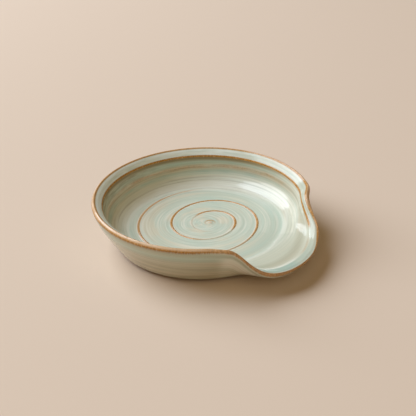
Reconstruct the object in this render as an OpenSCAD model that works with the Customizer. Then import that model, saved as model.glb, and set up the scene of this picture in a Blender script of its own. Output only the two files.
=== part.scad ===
// Wheel-thrown stoneware spoon rest: a shallow round dish with a sloping rim, and one pulled lip
// that holds the spoon's handle. The clay is one fired piece, and the glaze lies on it in thin coats.
// Z is the wheel's axis, the foot stands on Z = 0 and the lip points along +X.

/* [Dish] */
// Radius of the rim's outer edge
rim_r = 60; // [54:0.5:70]
// Height of the rim's outer edge above the table, before it is rounded
rim_h = 27; // [22:0.5:34]
// Width of the sloping band on top of the rim
band_w = 5; // [3.5:0.25:6.5]
// Fall of that band from its outer to its inner edge
band_fall = 4.2; // [2:0.1:5]
// Height of the dish's floor above the table
floor_h = 7; // [5.5:0.1:8]
// Distance from the rim's outer edge in to the flat of the floor
floor_inset = 17.5; // [15:0.5:22]
// Distance from the rim's outer edge in to the foot's edge
foot_inset = 13; // [11:0.5:16]
// Height of the bare foot below the glaze
foot_h = 1.3; // [0.8:0.1:2]
// How far the wall flares out over the bare foot
foot_flare = 2.3; // [1.5:0.1:4]

/* [Lip] */
// How far the lip's edge reaches past the rim's circle, before it is rounded
lip_out = 13.4; // [9:0.2:16]
// Height of the lip's edge above the table, before it is rounded
lip_h = 11.6; // [10:0.2:14]
// Width of the band along the lip's edge
lip_band_w = 5.8; // [5:0.2:8]
// Fall of that band towards the lip's floor
lip_band_fall = 0.3; // [0:0.1:1]
// Half angle of the part that the lip was pulled from, right of its middle
lip_right_angle = 40; // [36:1:50]
// The same half angle on its left
lip_left_angle = 55; // [46:1:60]
// Half angle at which the edge is back at the rim's height, right of the lip's middle
rise_right_angle = 29.5; // [26:0.5:36]
// The same half angle on its left
rise_left_angle = 50; // [42:0.5:54]
// How far the wall is drawn in on the left of the lip
pinch = 4; // [0:0.1:5]
// Half angle over which it is drawn in
pinch_angle = 14.5; // [12:0.5:18]

/* [Glaze] */
// Thickness of the glaze coats
glaze_t = 0.4; // [0.25:0.05:0.5]
// How far the outer brown line reaches down the outside
edge_line_down = 1.8; // [1.4:0.1:2.5]
// How far the outer brown line reaches in over the rim band
edge_line_in = 1; // [0.8:0.1:1.5]
// How far that line reaches down the outside at the lip, where the edge is rounder
lip_line_down = 3.5; // [2.5:0.1:4]
// How far it reaches in over the band at the lip
lip_line_in = 1.5; // [1:0.1:2]
// How far the inner brown line reaches on each side of its edge
inner_line = 1; // [0.8:0.1:1.4]

/* [Spiral] */
// Radius at which the spiral starts
spiral_start_r = 11.8; // [9:0.2:14]
// Distance from the edge of the floor's flat in to the spiral's last turn
spiral_inset = 2.8; // [2.6:0.2:8]
// Width of the spiral's ridge
spiral_w = 1; // [0.6:0.1:1.6]
// Height of the spiral's ridge
spiral_rise = 0.35; // [0.2:0.05:0.6]
// How far the spiral's middle lies towards the lip
spiral_x = 2.6; // [0:0.1:3]
// How far the spiral's middle lies to the left of the lip's line
spiral_y = 3.2; // [0:0.1:4]
// How far that middle moves back from the lip as the spiral widens
spiral_back = 2.6; // [0:0.2:5]
// How far it moves back towards the lip's line
spiral_aside = 1.6; // [0:0.2:3]
// Radius of the button in the middle
button_r = 2.2; // [1:0.1:3]
// Height of the button
button_rise = 0.6; // [0.4:0.1:1.2]

/* [Hidden] */

CLAY = [0.62, 0.5, 0.37];
CELADON = [0.76, 0.79, 0.72];
CELADON_RIM = [0.7, 0.76, 0.7];
CELADON_OUTSIDE = [0.63, 0.6, 0.49];
IRON_BROWN = [0.55, 0.36, 0.2];
NUB = [0.8, 0.68, 0.54];
$fn = 96;

foot_r = rim_r - foot_inset;
floor_r = rim_r - floor_inset;

// The floor's middle is a plain disc, and the turned sections run in under its edge.
disc_share = 0.94;
section_share = 0.9;
disc_r = floor_r * disc_share;
section_r = floor_r * section_share;

// Steps along each stretch of a section. The foot and the outside together have as many as the inside.
inside_steps = 12;
foot_steps = 4;
outside_steps = inside_steps - foot_steps;
edge_steps = 4;
// Sections on each side of the lip's middle: close together through the lip, wider apart beside it.
lip_steps = 15;
side_steps = 8;
function side_angles(lip_angle) = [
    for (k = [1:lip_steps]) lip_angle * k / lip_steps,
    for (k = [1:side_steps]) between(lip_angle, 90, k / side_steps)
];
section_angles = concat(-reversed(side_angles(lip_right_angle)), [0], side_angles(lip_left_angle));

// Belly of the outside, as shares of the way out and up from the glaze's lower edge to the rim's edge.
wall_belly_shares = [1.23, 0.83];
lip_belly_shares = [0.87, 0.55];
// Curve of the inside, as shares of the way out and up from the floor's edge to the rim's inner edge.
wall_inside_shares = [[0.937, 0.383], [0.775, 0.202], [0.25, 0]];
lip_inside_shares = [[0.74, 0.48], [0.4, 0.8], [0.17, 0]];
// Share of the pinch that each corner of a section takes, from the foot over the rim to the floor.
pinch_shares = [0, 0.6, 1, 0.46, 0.14, 0.05, 0, 0];
// Where between the lip's middle and its left end the wall is drawn in most.
pinch_middle_share = 0.76;
pinch_middle_angle = lip_left_angle * pinch_middle_share;

// Corners of a section from the glaze's lower edge, over the rim's two edges, to the floor's edge.
function section_corners(edge, band, belly_shares, inside_shares) =
    let (low = [foot_r + foot_flare, foot_h])
    let (inner_edge = edge - band)
    let (floor_edge = [floor_r, floor_h])
    let (span = inner_edge - floor_edge)
    concat(
        [low, low + scaled(edge - low, belly_shares), edge, inner_edge],
        [for (share = inside_shares) floor_edge + scaled(span, share)],
        [floor_edge]);

function scaled(v, shares) = [v.x * shares.x, v.y * shares.y];

wall_corners = section_corners([rim_r, rim_h], [band_w, band_fall], wall_belly_shares, wall_inside_shares);
lip_corners = section_corners([rim_r + lip_out, lip_h], [lip_band_w, lip_band_fall],
                              lip_belly_shares, lip_inside_shares);

// How much of the lip's reach, drop and pinch a section has, at an angle from the lip's middle.
function way_out(angle, right_angle, left_angle) =
    min(abs(angle) / (angle > 0 ? left_angle : right_angle), 1);
function reach_share(angle) = pow(1 - pow(way_out(angle, lip_right_angle, lip_left_angle), 2), 2);
function drop_share(angle) = pow(1 - pow(way_out(angle, rise_right_angle, rise_left_angle), 4), 3);
function pinch_share(angle) = pow(cos(90 * min(abs(angle - pinch_middle_angle) / pinch_angle, 1)), 2);

function between(a, b, share) = a + (b - a) * share;

function corners(angle) = [
    for (i = [0:len(wall_corners) - 1]) [
        between(wall_corners[i].x, lip_corners[i].x, reach_share(angle))
            - pinch * pinch_shares[i] * pinch_share(angle),
        between(wall_corners[i].y, lip_corners[i].y, drop_share(angle))
    ]
];

// A point on the Bezier curve of a list of corners, and the curve in steps without its first point.
function on_curve(p, t) =
    len(p) == 1 ? p[0] : on_curve([for (i = [0:len(p) - 2]) between(p[i], p[i + 1], t)], t);
function curve(p, steps) = [for (i = [1:steps]) on_curve(p, i / steps)];
function towards(a, b, distance) = a + (b - a) * distance / norm(b - a);

// Index of the last point of each stretch of a section.
outside_end = outside_steps;
outer_line_end = outside_end + edge_steps;
band_end = outer_line_end + 1;
inner_line_end = band_end + edge_steps;
section_end = inner_line_end + inside_steps + 1;

// The glazed surface of a section, from the glaze's lower edge over the rim to the floor.
function glazed(angle) =
    let (c = corners(angle))
    let (line_low = towards(c[2], c[1], between(edge_line_down, lip_line_down, drop_share(angle))))
    let (line_high = towards(c[2], c[3], between(edge_line_in, lip_line_in, drop_share(angle))))
    let (inner_high = towards(c[3], c[2], inner_line))
    let (inner_low = towards(c[3], c[4], inner_line))
    concat(
        [c[0]],
        curve([c[0], c[1], line_low], outside_steps),
        curve([line_low, c[2], line_high], edge_steps),
        [inner_high],
        curve([inner_high, c[3], inner_low], edge_steps),
        curve([inner_low, c[4], c[5], c[6], c[7]], inside_steps),
        [[section_r, floor_h]]);

// The clay's surface lies one glaze thickness below it.
function clay(angle) =
    let (p = glazed(angle))
    [
        for (i = [0:section_end])
        let (way = p[min(i + 1, section_end)] - p[max(i - 1, 0)])
        p[i] + glaze_t * [-way.y, way.x] / norm(way)
    ];

function part_of(list, first, last) = [for (i = [first:last]) list[i]];
function reversed(list) = [for (i = [len(list) - 1:-1:0]) list[i]];

// The two chains of points that bound a coat of glaze, and those that bound the clay.
function coat_chains(angle, first, last) =
    [part_of(glazed(angle), first, last), part_of(clay(angle), first, last)];
function clay_chains(angle) =
    let (p = clay(angle))
    [
        concat(
            [for (k = [0:foot_steps]) [between(section_r, foot_r, k / foot_steps), 0]],
            part_of(p, 0, outer_line_end)),
        reversed(part_of(p, band_end, section_end))
    ];

// Solid between two chains of points, carried through a list of stations. Each side splits along its
// shorter diagonal, so that two coats that meet split their common side alike.
module swept(stations) {
    half = len(stations[0][0]);
    loop = 2 * half;
    last = loop * (len(stations) - 1);
    points = [for (s = stations) each concat(s[0], reversed(s[1]))];
    sides = [
        for (j = [0:len(stations) - 2], i = [0:loop - 1])
        let (p = j * loop + i, q = j * loop + (i + 1) % loop)
        each norm(points[p] - points[q + loop]) < norm(points[q] - points[p + loop])
            ? [[p, q, q + loop], [p, q + loop, p + loop]]
            : [[p, q, p + loop], [q, q + loop, p + loop]]
    ];
    ends = [
        for (a = [0:half - 2])
        let (b = loop - 1 - a)
        each [
            [b, b - 1, a + 1], [b, a + 1, a],
            [last + a, last + a + 1, last + b - 1], [last + a, last + b - 1, last + b]
        ]
    ];
    polyhedron(points, concat(sides, ends));
}

// A section turned round the wheel's axis: the back half true round, the half with the lip swept.
module turned(chains) {
    round_chains = chains(90);
    rotate([0, 0, 90])
        rotate_extrude(angle = 180)
            polygon(concat(round_chains[0], reversed(round_chains[1])));
    swept([
        for (angle = section_angles)
        [for (chain = chains(angle)) [for (p = chain) [p.x * cos(angle), p.x * sin(angle), p.y]]]
    ]);
}

module coat(first, last) turned(function (angle) coat_chains(angle, first, last));

// The thrown and fired clay: floor, wall, rim, pulled lip and bare foot.
module stoneware_body()
    color(CLAY) {
        cylinder(r = disc_r, h = floor_h - glaze_t);
        turned(function (angle) clay_chains(angle));
    }

// Celadon on the floor, the inside wall and the lip's floor.
module inside_glaze()
    color(CELADON) {
        translate([0, 0, floor_h - glaze_t])
            cylinder(r = disc_r, h = glaze_t);
        coat(inner_line_end, section_end);
    }

// Celadon on the sloping rim band.
module rim_glaze()
    color(CELADON_RIM)
        coat(outer_line_end, band_end);

// Celadon on the outside, down to the bare foot.
module outside_glaze()
    color(CELADON_OUTSIDE)
        coat(0, outside_end);

// Iron-brown line along the rim's outer edge.
module rim_outer_line()
    color(IRON_BROWN)
        coat(outside_end, outer_line_end);

// Iron-brown line along the rim's inner edge.
module rim_inner_line()
    color(IRON_BROWN)
        coat(band_end, inner_line_end);

// The spiral grows by the same factor each turn, until it settles on its outer circle.
spiral_end_r = floor_r - spiral_inset;
spiral_growth_share = 1.926;
spiral_settling_share = 0.054;
spiral_turn_count = 2.13;
spiral_start_angle = 188.5;
// Made by hand, it is a little longer along one line than across it.
spiral_oval_share = 0.043;
spiral_oval_angle = 109;
spiral_steps = 96;
// The ridge runs out thin and narrow over this share of its first and last turn.
spiral_fade_share = 0.3;
spiral_end_share = 0.3;
// Width of the ridge's flat top, as a share of the ridge.
spiral_top_share = 0.5;

function spiral_r(turn, angle) =
    let (free_r = spiral_start_r * pow(spiral_growth_share, turn))
    let (round_r = free_r / pow(1 + pow(free_r / spiral_end_r, 1 / spiral_settling_share), spiral_settling_share))
    round_r * (1 + spiral_oval_share * cos(2 * (angle - spiral_oval_angle)));

function ease(x) = let (t = min(max(x, 0), 1)) t * t * (3 - 2 * t);
function spiral_share(turn) =
    between(spiral_end_share, 1, ease(min(turn, spiral_turn_count - turn) / spiral_fade_share));

// The ridge's outer and inner side at a turn, each from the floor up.
function spiral_chains(turn) =
    let (angle = spiral_start_angle - 360 * turn)
    let (half = spiral_w / 2 * spiral_share(turn))
    let (top = spiral_rise * spiral_share(turn))
    [
        for (side = [1, -1]) [
            for (p = [[half, 0], [half * spiral_top_share, top]])
            let (r = spiral_r(turn, angle) + side * p.x)
            let (middle = [spiral_x, spiral_y] - [spiral_back, spiral_aside] * turn / spiral_turn_count)
            [middle.x + r * cos(angle), middle.y + r * sin(angle), floor_h + p.y]
        ]
    ];

// Iron-brown ridge that the potter's finger left on the floor.
module spiral_line()
    color(IRON_BROWN)
        swept([for (k = [spiral_steps:-1:0]) spiral_chains(spiral_turn_count * k / spiral_steps)]);

// Radius of the sphere that the button's dome is cut from.
button_dome_r = (pow(button_r, 2) + pow(button_rise, 2)) / (2 * button_rise);

// Small nub of clay in the middle of the spiral.
module centre_button()
    color(NUB)
        translate([spiral_x, spiral_y, floor_h])
            intersection() {
                translate([0, 0, button_rise - button_dome_r])
                    sphere(r = button_dome_r);
                cylinder(r = button_dome_r, h = button_dome_r);
            }

stoneware_body();
inside_glaze();
rim_glaze();
outside_glaze();
rim_outer_line();
rim_inner_line();
spiral_line();
centre_button();
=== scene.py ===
import math

import bpy
import numpy as np
from mathutils import Matrix


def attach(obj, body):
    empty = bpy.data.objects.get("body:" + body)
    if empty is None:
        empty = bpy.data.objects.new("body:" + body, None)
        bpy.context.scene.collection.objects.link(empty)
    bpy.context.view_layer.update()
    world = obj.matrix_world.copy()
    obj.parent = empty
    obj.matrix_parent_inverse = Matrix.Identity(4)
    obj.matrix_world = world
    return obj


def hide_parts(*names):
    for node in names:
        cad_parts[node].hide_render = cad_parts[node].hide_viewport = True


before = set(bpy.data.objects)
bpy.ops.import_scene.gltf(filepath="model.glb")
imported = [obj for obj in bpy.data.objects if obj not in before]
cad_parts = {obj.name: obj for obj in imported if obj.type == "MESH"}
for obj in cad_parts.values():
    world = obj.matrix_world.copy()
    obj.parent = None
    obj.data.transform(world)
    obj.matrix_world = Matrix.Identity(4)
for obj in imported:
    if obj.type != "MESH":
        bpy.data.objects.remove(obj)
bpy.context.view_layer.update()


# Stoneware body: one piece of tan clay, thrown on the wheel as a shallow dish, with one side pulled out
# and pressed down into a lip for the spoon's handle. It is bare only on the foot, where it stood in the
# kiln. Everything else is glazed, so this section also has the shape that the coats of glaze follow.
RIM_RADIUS = 0.060
RIM_HEIGHT = 0.027
RIM_BAND = np.array([0.005, 0.0042])
FLOOR_RADIUS = 0.0425
FLOOR_HEIGHT = 0.007
FOOT_RADIUS = 0.047
FOOT_HEIGHT = 0.0013
FOOT_FLARE = 0.0023
LIP_OUT = 0.0134
LIP_HEIGHT = 0.0116
LIP_BAND = np.array([0.0058, 0.0003])
LIP_RIGHT_ANGLE, LIP_LEFT_ANGLE = 40, 55
RISE_RIGHT_ANGLE, RISE_LEFT_ANGLE = 29.5, 50
PINCH = 0.004
PINCH_MIDDLE_ANGLE = 41.8
PINCH_ANGLE = 14.5
GLAZE_THICKNESS = 0.0004
OUTER_LINE_DOWN, LIP_LINE_DOWN = 0.0018, 0.0035
OUTER_LINE_IN, LIP_LINE_IN = 0.001, 0.0015
INNER_LINE = 0.001
# Radius of the last row round the wheel's axis, which one face closes.
INNERMOST_RADIUS = 0.0002

# Curve of the outside and of the inside, as shares of the way between their ends, and the share of the
# pinch beside the lip that each corner of the section takes.
WALL_BELLY = np.array([1.23, 0.83])
LIP_BELLY = np.array([0.87, 0.55])
WALL_INSIDE = np.array([[0.937, 0.383], [0.775, 0.202], [0.25, 0]])
LIP_INSIDE = np.array([[0.74, 0.48], [0.4, 0.8], [0.17, 0]])
PINCH_SHARES = np.array([0, 0.6, 1, 0.46, 0.14, 0.05, 0, 0])

STATIONS = 480
angles = np.arange(STATIONS) * 360 / STATIONS
angles = np.where(angles > 180, angles - 360, angles)
turn_cos, turn_sin = np.cos(np.radians(angles)), np.sin(np.radians(angles))


def eased(value, start, end):
    """Goes softly from 0 where the value is at its start to 1 at its end."""
    t = np.clip((value - start) / (end - start), 0, 1)
    return t * t * (3 - 2 * t)


def bell(value, middle, half_width):
    return np.exp(-(((value - middle) / half_width) ** 2))


def way_out(right_angle, left_angle):
    return np.clip(abs(angles) / np.where(angles > 0, left_angle, right_angle), 0, 1)


lip_reach = (1 - way_out(LIP_RIGHT_ANGLE, LIP_LEFT_ANGLE) ** 2) ** 2
lip_drop = (1 - way_out(RISE_RIGHT_ANGLE, RISE_LEFT_ANGLE) ** 4) ** 3
pinch_way = np.clip((angles - PINCH_MIDDLE_ANGLE) / PINCH_ANGLE, -1, 1)
lip_pinch = PINCH * np.cos(np.pi / 2 * pinch_way) ** 2


def section_corners(edge, band, belly, inside):
    """Radius and height of a section's corners, from the glaze's lower edge over the rim to the floor."""
    low = np.array([FOOT_RADIUS + FOOT_FLARE, FOOT_HEIGHT])
    inner_edge = edge - band
    floor_edge = np.array([FLOOR_RADIUS, FLOOR_HEIGHT])
    inside_points = floor_edge + inside * (inner_edge - floor_edge)
    return np.array([low, low + belly * (edge - low), edge, inner_edge, *inside_points, floor_edge])


wall = section_corners(np.array([RIM_RADIUS, RIM_HEIGHT]), RIM_BAND, WALL_BELLY, WALL_INSIDE)
lip = section_corners(np.array([RIM_RADIUS + LIP_OUT, LIP_HEIGHT]), LIP_BAND, LIP_BELLY, LIP_INSIDE)
corner_r = wall[:, :1] + (lip - wall)[:, :1] * lip_reach - PINCH_SHARES[:, None] * lip_pinch
corner_z = wall[:, 1:] + (lip - wall)[:, 1:] * lip_drop
corners = np.stack([corner_r, corner_z], axis=-1)


def towards(a, b, distance):
    return a + (b - a) * distance / np.linalg.norm(b - a, axis=-1, keepdims=True)


def curve(points, steps):
    """Rows of points along a Bezier curve, without its first point."""
    t = np.linspace(0, 1, steps + 1)[1:, None, None]
    level = [p[None] for p in points]
    while len(level) > 1:
        level = [a + (b - a) * t for a, b in zip(level, level[1:])]
    return level[0]


line_down = OUTER_LINE_DOWN + (LIP_LINE_DOWN - OUTER_LINE_DOWN) * lip_drop[:, None]
line_in = OUTER_LINE_IN + (LIP_LINE_IN - OUTER_LINE_IN) * lip_drop[:, None]
outer_low = towards(corners[2], corners[1], line_down)
outer_high = towards(corners[2], corners[3], line_in)
inner_high = towards(corners[3], corners[2], INNER_LINE)
inner_low = towards(corners[3], corners[4], INNER_LINE)
floor_middle = np.full_like(outer_low, (INNERMOST_RADIUS, FLOOR_HEIGHT))
stretches = [
    curve([corners[0], corners[1], outer_low], steps=40),
    curve([outer_low, corners[2], outer_high], steps=12),
    curve([outer_high, inner_high], steps=8),
    curve([inner_high, corners[3], inner_low], steps=10),
    curve([inner_low, *corners[4:]], steps=64),
    curve([corners[7], floor_middle], steps=64),
]
section = np.concatenate([corners[:1], *stretches])
row_ends = np.cumsum([len(s) for s in stretches])
outside_end, outer_line_end, band_end, inner_line_end, _, floor_end = row_ends

# Distance over the surface from the middle of the rim's outer edge, from that of its inner edge, and from
# the middle of the floor.
step_length = np.linalg.norm(np.diff(section, axis=0, prepend=section[:1]), axis=-1)
run = np.cumsum(step_length, axis=0)
from_outer_edge = run - run[(outside_end + outer_line_end) // 2]
from_inner_edge = run - run[(band_end + inner_line_end) // 2]
from_middle = run[-1] - run


def in_space(r, z):
    return np.stack([r * turn_cos, r * turn_sin, z], axis=-1)


def surface_normals(points):
    along = np.gradient(points, axis=0)
    around = np.roll(points, -1, axis=1) - np.roll(points, 1, axis=1)
    normals = np.cross(around, along)
    return normals / np.linalg.norm(normals, axis=-1, keepdims=True)


# Soft ridges where the floor runs out into the lip: one follows the floor's edge, and one leaves it for
# the pinched side.
RIDGE_RISE = 0.00015
LIP_RIDGE_SHARE = 0.6


def soft_ridge(ridge_r, half_width, from_angle, to_angle, run_out):
    """Bell across a line of given radius, between two angles from the lip's middle."""
    across_line = bell(section[..., 0], ridge_r, half_width)
    across_line[:inner_line_end] = 0
    run_in = eased(angles, from_angle, from_angle + run_out)
    return across_line * run_in * eased(angles, to_angle, to_angle - run_out)


edge_ridge_r = 0.0461 + 0.0014 * eased(angles, 20, 6) + 0.0024 * eased(angles, 28, 68)
lip_ridge_r = 0.0475 + 0.0052 * eased(angles, 4, 42)
edge_ridge = soft_ridge(edge_ridge_r, half_width=0.0015, from_angle=-36, to_angle=76, run_out=22)
lip_ridge = soft_ridge(lip_ridge_r, half_width=0.0016, from_angle=-8, to_angle=52, run_out=16)
ridges = np.maximum(edge_ridge, LIP_RIDGE_SHARE * lip_ridge)

# Throwing rings that the fingers left while the wheel turned. They fade towards the rim, the middle and
# the lip.
RING_PITCH, OUTSIDE_RING_PITCH = 0.0027, 0.0028
RING_DEPTH = 0.00005
ring_turns = from_middle / RING_PITCH + angles / 360
ring_fade = eased(from_inner_edge, 0, 0.004) * eased(from_middle, 0, 0.006) * (1 - 0.7 * lip_drop)
ring_depth = RING_DEPTH * ring_fade * (0.6 + 0.4 * np.sin(1.7 * ring_turns))
rings = -ring_depth * (0.5 - 0.5 * np.cos(2 * np.pi * ring_turns))
outside_turns = from_outer_edge / OUTSIDE_RING_PITCH + angles / 360
outside_rings = -RING_DEPTH * (1.1 - 0.5 * np.cos(2 * np.pi * outside_turns))
outside_rings *= eased(from_outer_edge, -0.0025, -0.0055)

# The rim's band is a little crowned. The outside lies a hair inside the solid's size.
BAND_CROWN = 0.0002
EDGE_INSET = 0.00006
band_share = (run - run[outer_line_end]) / (run[band_end] - run[outer_line_end])
crown = BAND_CROWN * np.sin(np.pi * np.clip(band_share, 0, 1)) ** 2
inset = EDGE_INSET * eased(from_outer_edge, 0.0006, -0.0004)
relief = RIDGE_RISE * ridges + np.where(from_outer_edge < 0, outside_rings, rings) + crown - inset

plain = in_space(section[..., 0], section[..., 1])
glazed = plain + relief[..., None] * surface_normals(plain)
normals = surface_normals(glazed)
clay = glazed - GLAZE_THICKNESS * normals

# The glaze ends in a soft bead above the bare foot.
BEAD_LENGTH = 0.001
BEAD_TIP = 0.15
bead_way = np.clip(run / BEAD_LENGTH, 0, 1)
bead_thickness = BEAD_TIP + (1 - BEAD_TIP) * np.sqrt(1 - (1 - bead_way) ** 2)
glazed = clay + GLAZE_THICKNESS * bead_thickness[..., None] * normals

# The bare foot, from the middle of its underside, with faint turning marks, out and up to the glaze.
TURNING_MARK_DEPTH = 0.00012
TURNING_MARK_PITCH = 0.0021
MARKS_FADE = 0.004
FOOT_FLAT_RADIUS = FOOT_RADIUS - 0.0008
FOOT_EDGE = [
    (FOOT_RADIUS - 0.0004, 0.00004),
    (FOOT_RADIUS - 0.0001, 0.0002),
    (FOOT_RADIUS + 0.0002, 0.0005),
]
under_r = np.linspace(INNERMOST_RADIUS, FOOT_FLAT_RADIUS, 40)
turning_marks = TURNING_MARK_DEPTH * (0.5 - 0.5 * np.cos(2 * np.pi * under_r / TURNING_MARK_PITCH))
turning_marks *= eased(under_r, 0, MARKS_FADE)
turning_marks *= eased(under_r, FOOT_RADIUS - MARKS_FADE, FOOT_RADIUS - 2 * MARKS_FADE)
foot = np.concatenate([np.stack([under_r, turning_marks], axis=-1), FOOT_EDGE])
foot_points = in_space(foot[:, :1], np.broadcast_to(foot[:, 1:], (len(foot), STATIONS)))


def ring_faces(first, rows, columns=STATIONS, flip=False):
    """Quads between rows of points that each go once round, counted from the point first."""
    i, j = np.meshgrid(np.arange(rows - 1), np.arange(columns), indexing="ij")
    here, there = first + i * columns, first + (i + 1) * columns
    on = (j + 1) % columns
    quads = np.stack([here + j, here + on, there + on, there + j], axis=-1).reshape(-1, 4)
    return (quads[:, ::-1] if flip else quads).tolist()


def new_piece(name, points, faces, attributes=None, shading=None):
    mesh = bpy.data.meshes.new(name)
    mesh.from_pydata(points.reshape(-1, 3).tolist(), [], faces)
    mesh.update()
    mesh.polygons.foreach_set("use_smooth", [True] * len(mesh.polygons))
    for attribute, values in (attributes or {}).items():
        layer = mesh.attributes.new(attribute, "FLOAT", "POINT")
        layer.data.foreach_set("value", np.asarray(values, np.float32).ravel())
    if shading is not None:
        mesh.normals_split_custom_set_from_vertices(shading.reshape(-1, 3).tolist())
    piece = bpy.data.objects.new(name, mesh)
    bpy.context.scene.collection.objects.link(piece)
    return piece


body_points = np.concatenate([foot_points, clay])
body_rows = len(body_points)
body_faces = ring_faces(0, body_rows)
body_faces.append(list(range(STATIONS))[::-1])
body_faces.append(list(range((body_rows - 1) * STATIONS, body_rows * STATIONS)))
stoneware_body = new_piece("stoneware_body", body_points, body_faces)
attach(stoneware_body, "root")
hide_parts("stoneware_body")


def new_material(name):
    material = bpy.data.materials.new(name)
    material.use_nodes = True
    tree = material.node_tree
    return material, tree, tree.nodes["Principled BSDF"]


def put(tree, kind, inputs=None, **settings):
    """Adds a node, with its settings, and its inputs by name or number as values or as other outputs."""
    node = tree.nodes.new("ShaderNode" + kind)
    for setting, value in settings.items():
        setattr(node, setting, value)
    for key, value in (inputs or {}).items():
        if isinstance(value, bpy.types.NodeSocket):
            tree.links.new(value, node.inputs[key])
        else:
            node.inputs[key].default_value = value
    return node


def place_on_piece(tree):
    return put(tree, "TexCoord").outputs["Object"]


def noise(tree, place, scale, detail):
    return put(tree, "TexNoise", {"Vector": place, "Scale": scale, "Detail": detail}).outputs[0]


def mix_colour(tree, share, a, b):
    return put(tree, "Mix", {0: share, 6: a, 7: b}, data_type="RGBA").outputs[2]


def remap(tree, value, low, high, to_low=0.0, to_high=1.0):
    """Goes softly from one result to another as a value goes from low to high."""
    ends = {0: value, 1: low, 2: high, 3: to_low, 4: to_high}
    return put(tree, "MapRange", ends, interpolation_type="SMOOTHSTEP").outputs[0]


CLAY_TAN = (0.33, 0.21, 0.115, 1)
CLAY_DARK = (0.17, 0.1, 0.052, 1)
bare_clay, tree, shader = new_material("bare stoneware")
place = place_on_piece(tree)
grit = noise(tree, place, scale=900.0, detail=4.0)
stain = noise(tree, place, scale=90.0, detail=3.0)
clay_colour = mix_colour(tree, remap(tree, stain, 0.35, 0.7), CLAY_TAN, CLAY_DARK)
clay_colour = mix_colour(tree, remap(tree, grit, 0.62, 0.72), clay_colour, CLAY_DARK)
tree.links.new(clay_colour, shader.inputs["Base Color"])
shader.inputs["Roughness"].default_value = 0.85
clay_bump = put(tree, "Bump", {"Strength": 0.4, "Distance": 0.0003, "Height": grit})
tree.links.new(clay_bump.outputs[0], shader.inputs["Normal"])
stoneware_body.data.materials.append(bare_clay)


# Celadon inside: one glaze covers the dish. It is blue-green where it lies thick, tan where the throwing
# rings left it thin, and it breaks to iron-brown on sharp edges. This coat lies on the floor, the inside
# wall and the lip's floor, fused to the clay.
CELADON = (0.635, 0.72, 0.615, 1)
AQUA_TINT = (0.58, 0.725, 0.635, 1)
AQUA = (0.465, 0.63, 0.565, 1)
TAN = (0.77, 0.73, 0.58, 1)
CREAM = (0.88, 0.88, 0.78, 1)
# Milky white for a painted sheen on the rim's band and low on the back wall.
MILKY_SHEEN = (0.91, 0.98, 0.93, 1)
# The olive below is mixed in as painted shade, and as the glaze's own olive below the rim's lines.
OLIVE_SHADE = (0.30, 0.22, 0.09, 1)
UMBER = (0.2, 0.13, 0.055, 1)
IRON = (0.59, 0.285, 0.063, 1)
IRON_DARK = (0.285, 0.124, 0.027, 1)
IRON_PALE = (0.87, 0.645, 0.44, 1)
PLAIN_TAN = 0.15
BROAD_RING_PITCH, FINE_RING_PITCH, STREAK_PITCH = 0.0052, 0.0011, 0.0014


def maths(tree, operation, *values):
    return put(tree, "Math", dict(enumerate(values)), operation=operation).outputs[0]


def times(tree, first, *others):
    """Product of several masks and strengths."""
    for other in others:
        first = maths(tree, "MULTIPLY", first, other)
    return first


def most(tree, first, *others):
    """Largest of several masks."""
    for other in others:
        first = maths(tree, "MAXIMUM", first, other)
    return first


def around_axis(tree):
    """Unit vector from the wheel's axis, the same all the way up a wall."""
    place = place_on_piece(tree)
    flat = put(tree, "VectorMath", {0: place, 1: (1, 1, 0)}, operation="MULTIPLY").outputs[0]
    return put(tree, "VectorMath", {0: flat}, operation="NORMALIZE").outputs[0]


def ring_noise(tree, along, pitch, sway, detail):
    """Noise in streaks that run round the dish, a pitch apart and swaying as they go."""
    around = put(tree, "SeparateXYZ", {0: around_axis(tree)}).outputs
    place = put(tree, "CombineXYZ", {
        0: maths(tree, "DIVIDE", along, pitch),
        1: times(tree, around[0], sway),
        2: times(tree, around[1], sway),
    }).outputs[0]
    return noise(tree, place, scale=1.0, detail=detail)


# The glaze itself, as a group: rings and streaks, then its thickness and painted light, then its brown
# edges.
GLAZE_MASKS = ("Streaks", "Tan", "Pool", "Painted sheen", "Thin", "Shade", "Iron", "Dark iron", "Pale iron")
glaze = bpy.data.node_groups.new("thrown glaze", "ShaderNodeTree")
for socket in ("Rings", *GLAZE_MASKS):
    glaze.interface.new_socket(socket, in_out="INPUT", socket_type="NodeSocketFloat")
for socket, kind in (("Colour", "Color"), ("Roughness", "Float"), ("Height", "Float")):
    glaze.interface.new_socket(socket, in_out="OUTPUT", socket_type="NodeSocket" + kind)
given = glaze.nodes.new("NodeGroupInput").outputs
place = place_on_piece(glaze)
broad_rings = ring_noise(glaze, given["Rings"], BROAD_RING_PITCH, sway=0.8, detail=2.0)
fine_rings = ring_noise(glaze, given["Rings"], FINE_RING_PITCH, sway=0.8, detail=4.0)
fine_rings = put(glaze, "Mix", {0: given["Streaks"], 2: 0.5, 3: fine_rings}).outputs[0]
cloud = noise(glaze, place, scale=38.0, detail=3.0)
mottle = noise(glaze, place, scale=1000.0, detail=2.0)
brown_runs = noise(glaze, around_axis(glaze), scale=70.0, detail=3.0)

colour = mix_colour(glaze, remap(glaze, broad_rings, 0.5, 0.7, 0.0, 0.8), CELADON, TAN)
colour = mix_colour(glaze, remap(glaze, broad_rings, 0.48, 0.3, 0.0, 0.9), colour, AQUA_TINT)
tan_share = times(glaze, given["Tan"], remap(glaze, fine_rings, 0.3, 0.7, 0.5, 1.0))
colour = mix_colour(glaze, tan_share, colour, TAN)
colour = mix_colour(glaze, remap(glaze, fine_rings, 0.5, 0.68, 0.0, 0.55), colour, CREAM)
colour = mix_colour(glaze, given["Pool"], colour, AQUA)
# Painted sheen in milky white.
colour = mix_colour(glaze, given["Painted sheen"], colour, MILKY_SHEEN)
colour = mix_colour(glaze, given["Thin"], colour, CREAM)
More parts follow.
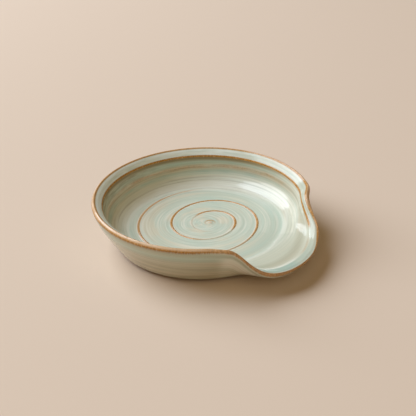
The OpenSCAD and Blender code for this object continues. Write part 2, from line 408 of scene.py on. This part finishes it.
# Painted shade: olive laid where the dish lies in shade, over the glaze's own olive.
colour = mix_colour(glaze, given["Shade"], colour, OLIVE_SHADE)
dark_share = remap(glaze, given["Tan"], 0.0, 0.6, 0.1, 0.24)
dark_streaks = times(glaze, remap(glaze, fine_rings, 0.5, 0.3), dark_share)
colour = mix_colour(glaze, dark_streaks, colour, UMBER)

brown = mix_colour(glaze, remap(glaze, brown_runs, 0.42, 0.68, 0.0, 0.55), IRON, IRON_DARK)
brown = mix_colour(glaze, remap(glaze, mottle, 0.5, 0.65, 0.0, 0.5), brown, IRON_DARK)
brown = mix_colour(glaze, given["Dark iron"], brown, IRON_DARK)
# Pale iron: peach thin glaze, and a painted highlight on the rim's crest.
brown = mix_colour(glaze, given["Pale iron"], brown, IRON_PALE)
brown = mix_colour(glaze, remap(glaze, mottle, 0.42, 0.32, 0.0, 0.35), brown, IRON_PALE)
colour = mix_colour(glaze, given["Iron"], colour, brown)

result = glaze.nodes.new("NodeGroupOutput").inputs
glaze.links.new(colour, result["Colour"])
glaze.links.new(remap(glaze, cloud, 0.3, 0.7, 0.07, 0.15), result["Roughness"])
glaze.links.new(fine_rings, result["Height"])


def glaze_material(name, values, masks):
    """Glossy glaze whose masks are made from the piece's own values by the given function."""
    material, tree, shader = new_material(name)
    at = {value: put(tree, "Attribute", attribute_name=value).outputs["Fac"] for value in values}
    group = put(tree, "Group", {"Rings": at["rings"], "Streaks": 1.0, "Tan": PLAIN_TAN}, node_tree=glaze)
    for mask, value in masks(tree, at).items():
        tree.links.new(value, group.inputs[mask])
    tree.links.new(group.outputs["Colour"], shader.inputs["Base Color"])
    tree.links.new(group.outputs["Roughness"], shader.inputs["Roughness"])
    shader.inputs["IOR"].default_value = 1.43
    bump = put(tree, "Bump", {"Strength": 0.1, "Distance": 0.0004, "Height": group.outputs["Height"]})
    tree.links.new(bump.outputs[0], shader.inputs["Normal"])
    return material


# Sides of the dish on which the glaze differs: the middle angle, the angle from there within which the
# mark is whole, and the angle at which it is gone.
GLAZE_SIDES = {
    "lip_front": (-10, 18, 40),
    "left": (-145, 25, 60),
    "right": (45, 45, 95),
    # Where painted light lies on the outside beside the lip.
    "beside_lip": (-22, 5, 14),
    "lip_glint": (-12, 10, 22),
    "smudge": (17, 2, 10),
    "streaked": (150, 55, 95),
    # Where a painted sheen lies low on the back wall, over tan glaze.
    "pale": (160, 50, 100),
}
BACK_SIDE = (180, 60, 120)
LEAST_BACK = 0.3


def near_angle(middle, whole, none):
    away = abs((angles - middle + 180) % 360 - 180)
    return np.broadcast_to(eased(away, none, whole), run.shape)


# Values that the glaze's colour follows over each coat. Rings are counted from the middle on the inside,
# where they sway a little because the clay sat off the wheel's centre, and from the rim elsewhere.
RINGS_AT_RIM = 0.08
WHEEL_SWAY = 0.00146
SWAY_ANGLE = 165
SWAY_WHOLE_R = 0.03


def ring_sway(from_middle, turned):
    return WHEEL_SWAY * np.sin(turned - math.radians(SWAY_ANGLE)) * eased(from_middle, 0, SWAY_WHOLE_R)


# The cream arc that runs on past the spiral's end.
RUN_OUT_HALF_WIDTH = 0.0009
inside_rows = np.arange(len(section))[:, None] > inner_line_end
run_out_r = 0.0414 + 0.0014 * (140 - angles) / 25
run_out = bell(section[..., 0], run_out_r, RUN_OUT_HALF_WIDTH) * inside_rows
run_out *= eased(angles, 146, 138) * eased(angles, 104, 126)

sway = ring_sway(from_middle, np.radians(angles))
coat_values = {
    "rings": np.where(inside_rows, from_middle + sway, RINGS_AT_RIM - from_inner_edge),
    "down_wall": np.where(inside_rows, from_inner_edge - sway, 0),
    "from_outer_edge": from_outer_edge,
    "from_inner_edge": from_inner_edge,
    "lip": np.broadcast_to(lip_drop, run.shape),
    "back": LEAST_BACK + (1 - LEAST_BACK) * near_angle(*BACK_SIDE),
    "ridge": np.maximum(ridges, run_out),
    **{side: near_angle(*reach) for side, reach in GLAZE_SIDES.items()},
}

# Marks in the glaze, each with its middle and half its width. Down the inside wall:
UPPER_POOL = (0.0041, 0.0022)
BROWN_STREAK = (0.007, 0.0021)
TAN_STREAK = (0.0072, 0.0026)
LOWER_POOL = (0.0103, 0.002)
LOWER_TAN = (0.0133, 0.002)
# In from the rim's inner edge:
EDGE_SMUDGE = (0.001, 0.0014)
EDGE_SHADE = (0.0012, 0.0024)
LIP_CREAM = (0.0017, 0.0019)
RIGHT_SHADE = (0.006, 0.006)
# Painted sheen low on the back wall, and the tan beneath it:
WALL_SHEEN = (0.018, 0.011)
PALE_WALL_TAN = (0.018, 0.009)
# From the floor's middle:
RIGHT_POOL = (0.0405, 0.0075)
# Past the rim's outer edge, where the outside counts down from 0:
BACK_EDGE_HIGHLIGHT = (0.0006, 0.0012)
EDGE_CREST_HIGHLIGHT = (-0.0003, 0.0014)
DARK_RUNS = (-0.0024, 0.0012)
SHADE_UNDER_LINE = (-0.004, 0.0026)
OUTSIDE_POOL = (-0.007, 0.0048)
PALE_LINE = (-0.0115, 0.0009)
DRIP_LENGTH = 0.0016


def stripe(tree, value, middle, half_width):
    """Soft mask that is whole at the middle and gone at half a width on each side."""
    rise = remap(tree, value, middle - half_width, middle)
    return times(tree, rise, remap(tree, value, middle + half_width, middle))


def streaky(tree, at, low, high):
    """Strength that wavers between two values along the streaks."""
    return remap(tree, at["streaks"], 0.35, 0.65, low, high)


def add_places(tree, at):
    """Adds the streaks, the wavy edges and the places that several masks share."""
    drips = noise(tree, around_axis(tree), scale=80.0, detail=3.0)
    drip_run = times(tree, maths(tree, "SUBTRACT", drips, 0.5), DRIP_LENGTH)
    at["streaks"] = ring_noise(tree, at["rings"], STREAK_PITCH, sway=5.0, detail=3.0)
    at["wavy_outer"] = maths(tree, "ADD", at["from_outer_edge"], drip_run)
    at["wavy_inner"] = maths(tree, "ADD", at["from_inner_edge"], times(tree, drip_run, 0.2))
    at["off_lip"] = remap(tree, at["lip"], 0.74, 0.58)
    at["on_lip"] = remap(tree, at["lip"], 0.58, 0.74)
    at["inside"] = remap(tree, at["from_inner_edge"], -0.0002, 0.0004)
    at["outward"] = remap(tree, at["rings"], 0.02, 0.046)
    at["upper_wall"] = remap(tree, at["down_wall"], 0.0095, 0.002)
    at["lip_floor"] = times(tree, at["on_lip"], at["inside"], at["outward"])
    band_inner = maths(tree, "SUBTRACT", at["from_inner_edge"], times(tree, at["lip_front"], 0.0014))
    at["band"] = times(tree, remap(tree, at["from_outer_edge"], 0.0008, 0.002),
                       remap(tree, band_inner, 0.0, -0.0012))
    at["right_band"] = times(tree, at["band"], at["right"])
    at["right_floor"] = times(tree, at["right"], stripe(tree, at["rings"], *RIGHT_POOL))
    # Painted sheen low on the back wall, streaked like the glaze.
    at["pale_wall"] = times(tree, stripe(tree, at["from_inner_edge"], *WALL_SHEEN), at["pale"],
                            remap(tree, at["streaks"], 0.3, 0.7, 0.6, 1.0))


def brown_masks(tree, at):
    """Brown lines on the two edges, which drip outside, with a painted highlight on the outer edge's
    crest, and the brown streak along the back wall.
    """
    outer, inner = at["from_outer_edge"], at["from_inner_edge"]
    back, lip_front = at["back"], at["lip_front"]
    patches = noise(tree, around_axis(tree), scale=7.0, detail=4.0)
    line_reach = maths(tree, "SUBTRACT", remap(tree, lip_front, 0.0, 1.0, 0.0008, 0.0),
                       remap(tree, back, LEAST_BACK, 1.0, 0.0, 0.00025))
    past_reach = maths(tree, "SUBTRACT", outer, most(tree, 0.0, line_reach))
    outer_low = maths(tree, "SUBTRACT", at["wavy_outer"], times(tree, lip_front, 0.0008))
    outer_line = times(tree, remap(tree, outer_low, -0.0036, -0.0016),
                       remap(tree, past_reach, 0.0013, 0.0005))
    thin_inner = maths(tree, "ADD", at["wavy_inner"], times(tree, back, 0.0003))
    inner_line = times(tree, remap(tree, at["wavy_inner"], -0.001, -0.0004),
                       remap(tree, thin_inner, 0.0013, 0.0004))
    brown_streak = times(tree, stripe(tree, at["down_wall"], *BROWN_STREAK), at["streaked"],
                         streaky(tree, at, 0.12, 0.55))
    smudge = times(tree, stripe(tree, inner, *EDGE_SMUDGE), at["smudge"], 0.3)
    # Painted highlight in pale iron on the outer edge's crest, over paler glaze; at the back only a
    # highlight.
    edge_crest_highlight = times(tree, stripe(tree, outer, *EDGE_CREST_HIGHLIGHT), remap(tree, patches, 0.35, 0.6, 0.65, 1.0),
                      remap(tree, lip_front, 0.0, 1.0, 1.0, 0.35))
    back_edge_highlight = times(tree, stripe(tree, outer, *BACK_EDGE_HIGHLIGHT), back, 0.25)
    dark_runs = times(tree, stripe(tree, at["wavy_outer"], *DARK_RUNS), 0.6)
    inside_brown = times(tree, most(tree, inner_line, brown_streak), at["off_lip"])
    return {
        "Iron": most(tree, outer_line, smudge, inside_brown),
        "Dark iron": most(tree, dark_runs, times(tree, at["on_lip"], 0.35)),
        "Pale iron": most(tree, edge_crest_highlight, back_edge_highlight),
    }


def olive_and_painted_shade_mask(tree, at):
    """Olive, partly the glaze's own and mostly painted shade: under the inner line, on the left wall and
    outside, with a trace on the right and the lip.
    """
    outer, inner = at["from_outer_edge"], at["from_inner_edge"]
    low_shade = times(tree, remap(tree, outer, -0.003, -0.011, 0.0, 0.36), at["off_lip"],
                      remap(tree, at["beside_lip"], 0.0, 1.0, 1.0, 0.2))
    # Painted shade: under the inner line, on the left wall, outside, on the right and on the lip's floor.
    return most(
        tree,
        times(tree, stripe(tree, inner, *EDGE_SHADE), at["back"], 0.9, at["off_lip"]),
        times(tree, at["inside"], at["upper_wall"], at["left"], streaky(tree, at, 0.12, 0.6)),
        times(tree, stripe(tree, at["wavy_outer"], *SHADE_UNDER_LINE), 0.35),
        low_shade,
        times(tree, remap(tree, outer, -0.003, -0.006, 0.0, 0.55), at["left"]),
        times(tree, at["right_band"], 0.16),
        times(tree, stripe(tree, inner, *RIGHT_SHADE), at["right"], 0.32),
        times(tree, at["right_floor"], 0.1),
        times(tree, at["lip_floor"], 0.1),
    )


def pool_mask(tree, at):
    """Blue-green pools: above and below the brown streak, along the lip's edge, and outside."""
    down_wall = at["down_wall"]
    band_strength = most(
        tree,
        remap(tree, at["lip_glint"], 0.0, 1.0, 0.0, 0.9),
        times(tree, at["lip_front"], 0.5),
        remap(tree, at["streaks"], 0.5, 0.35, 0.0, 0.3),
    )
    return most(
        tree,
        times(tree, stripe(tree, down_wall, *UPPER_POOL), at["streaked"], streaky(tree, at, 0.3, 0.65)),
        times(tree, stripe(tree, down_wall, *LOWER_POOL), at["back"], streaky(tree, at, 0.9, 0.45)),
        times(tree, at["band"], band_strength),
        times(tree, stripe(tree, at["from_outer_edge"], *OUTSIDE_POOL), 0.4),
        times(tree, at["right_floor"], 0.2),
        times(tree, at["lip_floor"], 0.2),
    )


def tan_mask(tree, at):
    """Tan where the glaze lies thin over the rings: on the wall, on the right and low on the outside."""
    wall_tan = most(
        tree,
        times(tree, stripe(tree, at["down_wall"], *TAN_STREAK), 0.9),
        times(tree, stripe(tree, at["down_wall"], *LOWER_TAN), 0.8),
        times(tree, at["left"], at["upper_wall"], 0.7),
        times(tree, stripe(tree, at["from_inner_edge"], *PALE_WALL_TAN), at["pale"], 0.8),
    )
    inside_tan = most(
        tree,
        PLAIN_TAN,
        times(tree, at["off_lip"], wall_tan),
        times(tree, at["lip_floor"], 0.3),
        times(tree, at["right"], remap(tree, at["rings"], 0.043, 0.05)),
    )
    return most(
        tree,
        times(tree, at["inside"], inside_tan),
        remap(tree, at["from_outer_edge"], -0.007, -0.018, 0.0, 0.9),
        times(tree, at["right_band"], 0.6),
    )


def thin_mask(tree, at):
    """Cream: painted highlights over thin glaze on the soft ridges and inside the lip's edge, painted
    sheen low on the back wall, and painted light below the lip.
    """
    outer, inner = at["from_outer_edge"], at["from_inner_edge"]
    beside_lip = times(tree, at["beside_lip"], remap(tree, outer, -0.02, -0.012))
    return most(
        tree,
        # Painted highlight along the soft ridges, over a little thinner glaze.
        times(tree, at["ridge"], 0.55),
        times(tree, at["pale_wall"], 0.45),
        # Painted light on the outside below and beside the lip.
        times(tree, remap(tree, outer, -0.003, -0.008), most(tree, at["on_lip"], beside_lip), 0.85),
        times(tree, stripe(tree, at["wavy_outer"], *PALE_LINE), 0.4),
        # Painted highlight inside the lip's edge, over thin glaze.
        times(tree, stripe(tree, inner, *LIP_CREAM), at["on_lip"], at["lip_glint"], 0.7),
    )


def coat_masks(tree, at):
    """All the masks of a coat, with a painted sheen on the rim's band and the smoother glaze on the lip.
    """
    add_places(tree, at)
    # Painted sheen on the rim's band, fading towards the right.
    milky_band_sheen = times(tree, at["band"], remap(tree, at["right"], 0.0, 0.9, 1.0, 0.0),
                       remap(tree, at["streaks"], 0.35, 0.6, 0.6, 1.0))
    smooth_lip = times(tree, remap(tree, at["lip"], 0.2, 0.9, 0.0, 0.6), at["outward"])
    return {
        **brown_masks(tree, at),
        "Shade": olive_and_painted_shade_mask(tree, at),
        "Pool": pool_mask(tree, at),
        "Tan": tan_mask(tree, at),
        "Thin": thin_mask(tree, at),
        "Painted sheen": most(tree, milky_band_sheen, times(tree, at["pale_wall"], 0.95)),
        "Streaks": maths(tree, "SUBTRACT", 1.0, smooth_lip),
    }


celadon_glaze = glaze_material("celadon glaze", coat_values, coat_masks)


def glaze_coat(name, first, last):
    """A closed coat of glaze between two rows of the section, from its surface to the clay below it."""
    coat_rows = slice(first, last + 1)
    top, under = glazed[coat_rows], clay[coat_rows]
    count = len(top) * STATIONS
    faces = ring_faces(0, len(top)) + ring_faces(count, len(top), flip=True)
    on = [(j + 1) % STATIONS for j in range(STATIONS)]
    faces += [[count + j, count + on[j], on[j], j] for j in range(STATIONS)]
    end = count - STATIONS
    if last == floor_end:
        faces.append([end + j for j in range(STATIONS)])
        faces.append([count + end + j for j in range(STATIONS)][::-1])
    else:
        faces += [[end + j, end + on[j], count + end + on[j], count + end + j] for j in range(STATIONS)]
    values = {value: np.concatenate([rows[coat_rows]] * 2) for value, rows in coat_values.items()}
    shading = np.concatenate([normals[coat_rows], -normals[coat_rows]])
    piece = new_piece(name, np.concatenate([top, under]), faces, values, shading)
    piece.data.materials.append(celadon_glaze)
    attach(piece, "root")
    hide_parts(name)


glaze_coat("inside_glaze", inner_line_end, floor_end)


# Rim: a sloping band of celadon between two iron-brown lines, where the glaze ran off the edges and
# broke. Outside, the same glaze runs down to a bead above the foot.
glaze_coat("rim_inner_line", band_end, inner_line_end)
glaze_coat("rim_glaze", outer_line_end, band_end)
glaze_coat("rim_outer_line", outside_end, outer_line_end)
glaze_coat("outside_glaze", 0, outside_end)


# Spiral line: the low ridge that the potter's finger left on the floor while the wheel turned. The glaze
# breaks to brown along it, and lies thin and pale beside it, with a painted highlight there.
SPIRAL_START_R = 0.0118
SPIRAL_END_R = 0.0397
SPIRAL_GROWTH = 1.926
SPIRAL_SETTLING = 18.5
SPIRAL_FIRST_TURN, SPIRAL_LAST_TURN = -0.42, 2.13
SPIRAL_START_ANGLE = 188.5
SPIRAL_OVAL, SPIRAL_OVAL_ANGLE = 0.043, 109
SPIRAL_MIDDLE = np.array([0.0026, 0.0032])
SPIRAL_DRIFT = np.array([-0.0026, -0.0016])
SPIRAL_HALF_WIDTH = 0.0014
SPIRAL_CREST = 0.33
SPIRAL_RISE = 0.0003
SPIRAL_FADE, SPIRAL_END_FADE = 0.3, 0.12
SPIRAL_LOW_SHARE = 0.45
SPIRAL_STEPS, SPIRAL_ACROSS = 760, 25
# The ridge lies a hair over the floor's glaze, and its edges and its underside dip into it.
FLOOR_COVER = 0.00003
EDGE_DIP = 6
SUNK = 0.0002

turn = np.linspace(SPIRAL_FIRST_TURN, SPIRAL_LAST_TURN, SPIRAL_STEPS)
free_r = SPIRAL_START_R * SPIRAL_GROWTH ** turn
spiral_angle = np.radians(SPIRAL_START_ANGLE - 360 * turn)
spiral_r = free_r / (1 + (free_r / SPIRAL_END_R) ** SPIRAL_SETTLING) ** (1 / SPIRAL_SETTLING)
spiral_r *= 1 + SPIRAL_OVAL * np.cos(2 * (spiral_angle - math.radians(SPIRAL_OVAL_ANGLE)))
spiral_size = eased(turn, SPIRAL_FIRST_TURN, SPIRAL_FIRST_TURN + SPIRAL_FADE)
spiral_size *= eased(turn, SPIRAL_LAST_TURN, SPIRAL_LAST_TURN - SPIRAL_END_FADE)
spiral_size *= SPIRAL_LOW_SHARE + (1 - SPIRAL_LOW_SHARE) * eased(turn, 0, 0.12)

across = np.linspace(-1, 1, SPIRAL_ACROSS)
crest = SPIRAL_RISE * spiral_size[:, None] * bell(across, 0, SPIRAL_CREST)
outward = np.stack([np.cos(spiral_angle), np.sin(spiral_angle)], axis=-1)[:, None]
middle = SPIRAL_MIDDLE + SPIRAL_DRIFT * (turn / SPIRAL_LAST_TURN)[:, None]
ridge_r = spiral_r[:, None] + SPIRAL_HALF_WIDTH * across
ridge_z = FLOOR_HEIGHT + FLOOR_COVER * (1 - EDGE_DIP * across ** 8) + crest
ridge_top = np.concatenate([middle[:, None] + ridge_r[..., None] * outward, ridge_z[..., None]], axis=-1)
ridge_low = ridge_top.copy()
ridge_low[..., 2] = FLOOR_HEIGHT - SUNK
loop = np.concatenate([ridge_top, ridge_low[:, ::-1]], axis=1)

slope = crest * -2 * across / SPIRAL_CREST ** 2 / SPIRAL_HALF_WIDTH
ridge_up = np.concatenate([-slope[..., None] * outward, np.ones_like(slope)[..., None]], axis=-1)
ridge_up /= np.linalg.norm(ridge_up, axis=-1, keepdims=True)
loop_up = np.concatenate([ridge_up, -ridge_up[:, ::-1]], axis=1)

loop_count = loop.shape[1]
spiral_faces = ring_faces(0, SPIRAL_STEPS, loop_count, flip=True)
spiral_faces.append(list(range(loop_count)))
spiral_faces.append([(SPIRAL_STEPS - 1) * loop_count + k for k in range(loop_count)][::-1])

# Brown from its first half turn on, broken once, fainter after a turn and a half, and fading out where it
# nears the wall.
first_brown = eased(turn, -0.02, 0.06) * eased(turn, 0.52, 0.44)
trace = 0.2 * eased(turn, -0.4, -0.3)
brown_line = np.maximum(np.maximum(first_brown, eased(turn, 0.6, 0.74)), trace)
brown_line *= 1 - 0.45 * bell(turn, 1.56, 0.09)
brown_line *= (1 - 0.45 * eased(turn, 2, 2.06)) * eased(turn, SPIRAL_LAST_TURN, SPIRAL_LAST_TURN - 0.05)

# Pale on its inner side and, from the second turn on, its outer side: thin glaze and painted highlight.
# Pale all over at its end.
across_loop = np.concatenate([across, across[::-1]])
along = turn[:, None]
inner_side = bell(across_loop, -0.55, 0.22)
outer_side = bell(across_loop, 0.6, 0.34) * eased(along, 1.4, 1.7)
pale_and_highlit_sides = spiral_size[:, None] * np.maximum(inner_side, outer_side)
pale_end = 0.6 * eased(along, 1.95, 2.07)
loop_r = np.linalg.norm(loop[..., :2], axis=-1)
loop_angle = np.arctan2(loop[..., 1], loop[..., 0])
spiral_values = {
    "iron": brown_line[:, None] * eased(abs(across_loop), 0.64, 0.34),
    "thin": np.maximum(pale_and_highlit_sides, pale_end),
    "rings": loop_r + ring_sway(loop_r, loop_angle),
    "pale": np.broadcast_to(eased(along, 1.75, 2), loop.shape[:2]),
}
spiral_line = new_piece("spiral_line", loop, spiral_faces, spiral_values, loop_up)


def ridge_masks(tree, at):
    return {
        "Iron": at["iron"],
        "Pale iron": remap(tree, at["pale"], 0.0, 1.0, 0.1, 0.5),
        "Thin": at["thin"],
    }


spiral_glaze = glaze_material("glaze on the spiral", spiral_values, ridge_masks)
spiral_line.data.materials.append(spiral_glaze)
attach(spiral_line, "root")
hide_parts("spiral_line")


# Centre button: the small nub of clay left in the middle when the finger started outwards. The glaze is
# thin and peach-coloured on it, with a brown ring round it that is strongest on one side.
BUTTON_R = 0.0022
BUTTON_RISE = 0.00035
BROWN_RING_R, BROWN_RING_HALF_WIDTH = 0.0027, 0.0007
SKIRT_R = 0.0038
BROWN_SIDE = math.radians(140)
BUTTON_RINGS, BUTTON_SIDES = 24, 48

share = np.linspace(0, 1, BUTTON_RINGS + 1)[1:, None]
button_angle = np.arange(BUTTON_SIDES) * 2 * np.pi / BUTTON_SIDES
button_r = np.broadcast_to(SKIRT_R * share, (BUTTON_RINGS, BUTTON_SIDES))
dome = np.cos(np.pi / 2 * np.clip(button_r / BUTTON_R, 0, 1)) ** 2
button_points = np.stack([
    SPIRAL_MIDDLE[0] + button_r * np.cos(button_angle),
    SPIRAL_MIDDLE[1] + button_r * np.sin(button_angle),
    FLOOR_HEIGHT + FLOOR_COVER * (1 - EDGE_DIP * share ** 16) + BUTTON_RISE * dome,
], axis=-1).reshape(-1, 3)
button_tip = [[*SPIRAL_MIDDLE, FLOOR_HEIGHT + FLOOR_COVER + BUTTON_RISE]]
button_points = np.concatenate([button_tip, button_points])
button_faces = [[0, 1 + k, 1 + (k + 1) % BUTTON_SIDES] for k in range(BUTTON_SIDES)]
button_faces += ring_faces(1, BUTTON_RINGS, BUTTON_SIDES, flip=True)
button_faces.append([1 + (BUTTON_RINGS - 1) * BUTTON_SIDES + k for k in range(BUTTON_SIDES)][::-1])

brown_ring = bell(button_r, BROWN_RING_R, BROWN_RING_HALF_WIDTH)
brown_ring = brown_ring * (0.1 + 0.9 * np.cos((button_angle - BROWN_SIDE) / 2) ** 4)
button_values = {
    "iron": np.concatenate([[0], brown_ring.ravel()]),
    "thin": np.concatenate([[1], dome.ravel()]),
    "rings": np.linalg.norm(button_points[:, :2], axis=-1),
}
centre_button = new_piece("centre_button", button_points, button_faces, button_values)


def button_masks(tree, at):
    patches = noise(tree, place_on_piece(tree), scale=900.0, detail=2.0)
    peach = times(tree, at["thin"], remap(tree, patches, 0.35, 0.6, 0.5, 0.9))
    return {
        "Thin": times(tree, at["thin"], 0.5),
        "Iron": most(tree, times(tree, at["iron"], 0.85), peach),
        "Pale iron": at["thin"],
    }


button_glaze = glaze_material("thin glaze on the button", button_values, button_masks)
centre_button.data.materials.append(button_glaze)
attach(centre_button, "root")
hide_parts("centre_button")


# Table: a plain, level surface under the dish, much wider than the view. It is a matt pale beige, so that
# little but the dish's soft shadow shows on it.
TABLE_BEIGE = (0.784, 0.641, 0.522, 1)
TABLE_HALF = 3
table_corners = [(x * TABLE_HALF, y * TABLE_HALF, 0) for x, y in ((-1, -1), (1, -1), (1, 1), (-1, 1))]
table_mesh = bpy.data.meshes.new("table")
table_mesh.from_pydata(table_corners, [], [(0, 1, 2, 3)])
table = bpy.data.objects.new("table", table_mesh)
bpy.context.scene.collection.objects.link(table)
table_finish, tree, shader = new_material("matt beige table")
shader.inputs["Base Color"].default_value = TABLE_BEIGE
shader.inputs["Roughness"].default_value = 0.9
shader.inputs["Specular IOR Level"].default_value = 0.1
table.data.materials.append(table_finish)


# Light: one large soft window light from behind on the left, a weak warmer one from the camera's side, and
# a warm, even room. The two lights are discs that face the dish.
WINDOW_COLOUR = (0.82, 0.9, 1.0)
FILL_COLOUR = (1.0, 0.91, 0.74)
ROOM_WARMTH = (1, 0.66, 0.24, 1)
ROOM_STRENGTH = 0.165


def soft_light(name, turn, rise, distance, size, energy, colour):
    light = bpy.data.lights.new(name, "AREA")
    light.shape = "DISK"
    light.size = size
    light.energy = energy
    light.color = colour
    lamp = bpy.data.objects.new(name, light)
    lamp.matrix_world = (Matrix.Rotation(math.radians(turn), 4, "Z")
                         @ Matrix.Rotation(math.radians(90 - rise), 4, "Y")
                         @ Matrix.Translation((0, 0, distance)))
    bpy.context.scene.collection.objects.link(lamp)


soft_light("window light", turn=199.7, rise=40, distance=3, size=3.12, energy=131, colour=WINDOW_COLOUR)
soft_light("room fill", turn=-30, rise=44, distance=3, size=3, energy=13.8, colour=FILL_COLOUR)

room = bpy.data.worlds.new("room")
room.use_nodes = True
room.node_tree.nodes["Background"].inputs["Color"].default_value = ROOM_WARMTH
room.node_tree.nodes["Background"].inputs["Strength"].default_value = ROOM_STRENGTH
bpy.context.scene.world = room
bpy.context.scene.view_settings.view_transform = "Standard"


# Camera: where the photograph was taken from, a little above the dish, with the lip towards the right. Its
# place and its three angles were fitted to the rim, the lip and the foot.
EYE = (0.30479, -0.25400, 0.235245)
EYE_TURN, EYE_TILT, EYE_ROLL = math.radians(49.728), 1.066921, -0.02689
FOCAL_LENGTH, SENSOR_WIDTH = 70, 36
lens = bpy.data.cameras.new("camera")
lens.lens = FOCAL_LENGTH
lens.sensor_width = SENSOR_WIDTH
camera = bpy.data.objects.new("camera", lens)
camera.matrix_world = (Matrix.Translation(EYE) @ Matrix.Rotation(EYE_TURN, 4, "Z")
                       @ Matrix.Rotation(EYE_TILT, 4, "X") @ Matrix.Rotation(EYE_ROLL, 4, "Z"))
bpy.context.scene.collection.objects.link(camera)
bpy.context.scene.camera = camera
